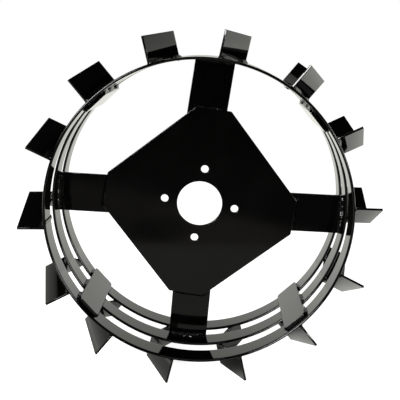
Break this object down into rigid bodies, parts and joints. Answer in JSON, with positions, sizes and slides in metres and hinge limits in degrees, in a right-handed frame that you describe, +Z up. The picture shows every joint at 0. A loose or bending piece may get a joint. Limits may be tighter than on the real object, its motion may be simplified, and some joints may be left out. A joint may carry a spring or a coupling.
{
  "type": "tiller cage wheel",
  "caption": "Welded steel cage wheel for a walking tiller: plate hub with arms, parallel hoops and chevron lugs, in gloss black paint.",
  "frame": {"origin": "the wheel's centre: on the axle line, halfway across the width", "axes": "+Y along the axle line, from the front face towards the back; +Z up, as the wheel stands on its lugs"},
  "size_m": [0.4906, 0.15, 0.4868],
  "materials": {
    "black_paint": "gloss",
    "weld_paint": "gloss"
  },
  "bodies": {
    "root": {"centre_plate": "black_paint", "arm_right": "black_paint", "arm_top": "black_paint", "arm_left": "black_paint", "arm_bottom": "black_paint", "front_hoop": "black_paint", "middle_hoop": "black_paint", "rear_hoop": "black_paint", "tie_plate_1": "black_paint", "tie_plate_2": "black_paint", "tie_plate_3": "black_paint", "tie_plate_4": "black_paint", "lug_01": "black_paint", "lug_02": "black_paint", "lug_03": "black_paint", "lug_04": "black_paint", "lug_05": "black_paint", "lug_06": "black_paint", "lug_07": "black_paint", "lug_08": "black_paint", "lug_09": "black_paint", "lug_10": "black_paint", "lug_11": "black_paint", "lug_12": "black_paint", "lug_13": "black_paint", "lug_14": "black_paint", "hoop_seam_welds": "weld_paint", "plate_welds": "weld_paint", "arm_welds": "weld_paint", "tie_plate_welds": "weld_paint", "lug_welds": "weld_paint"}
  },
  "joints": []
}
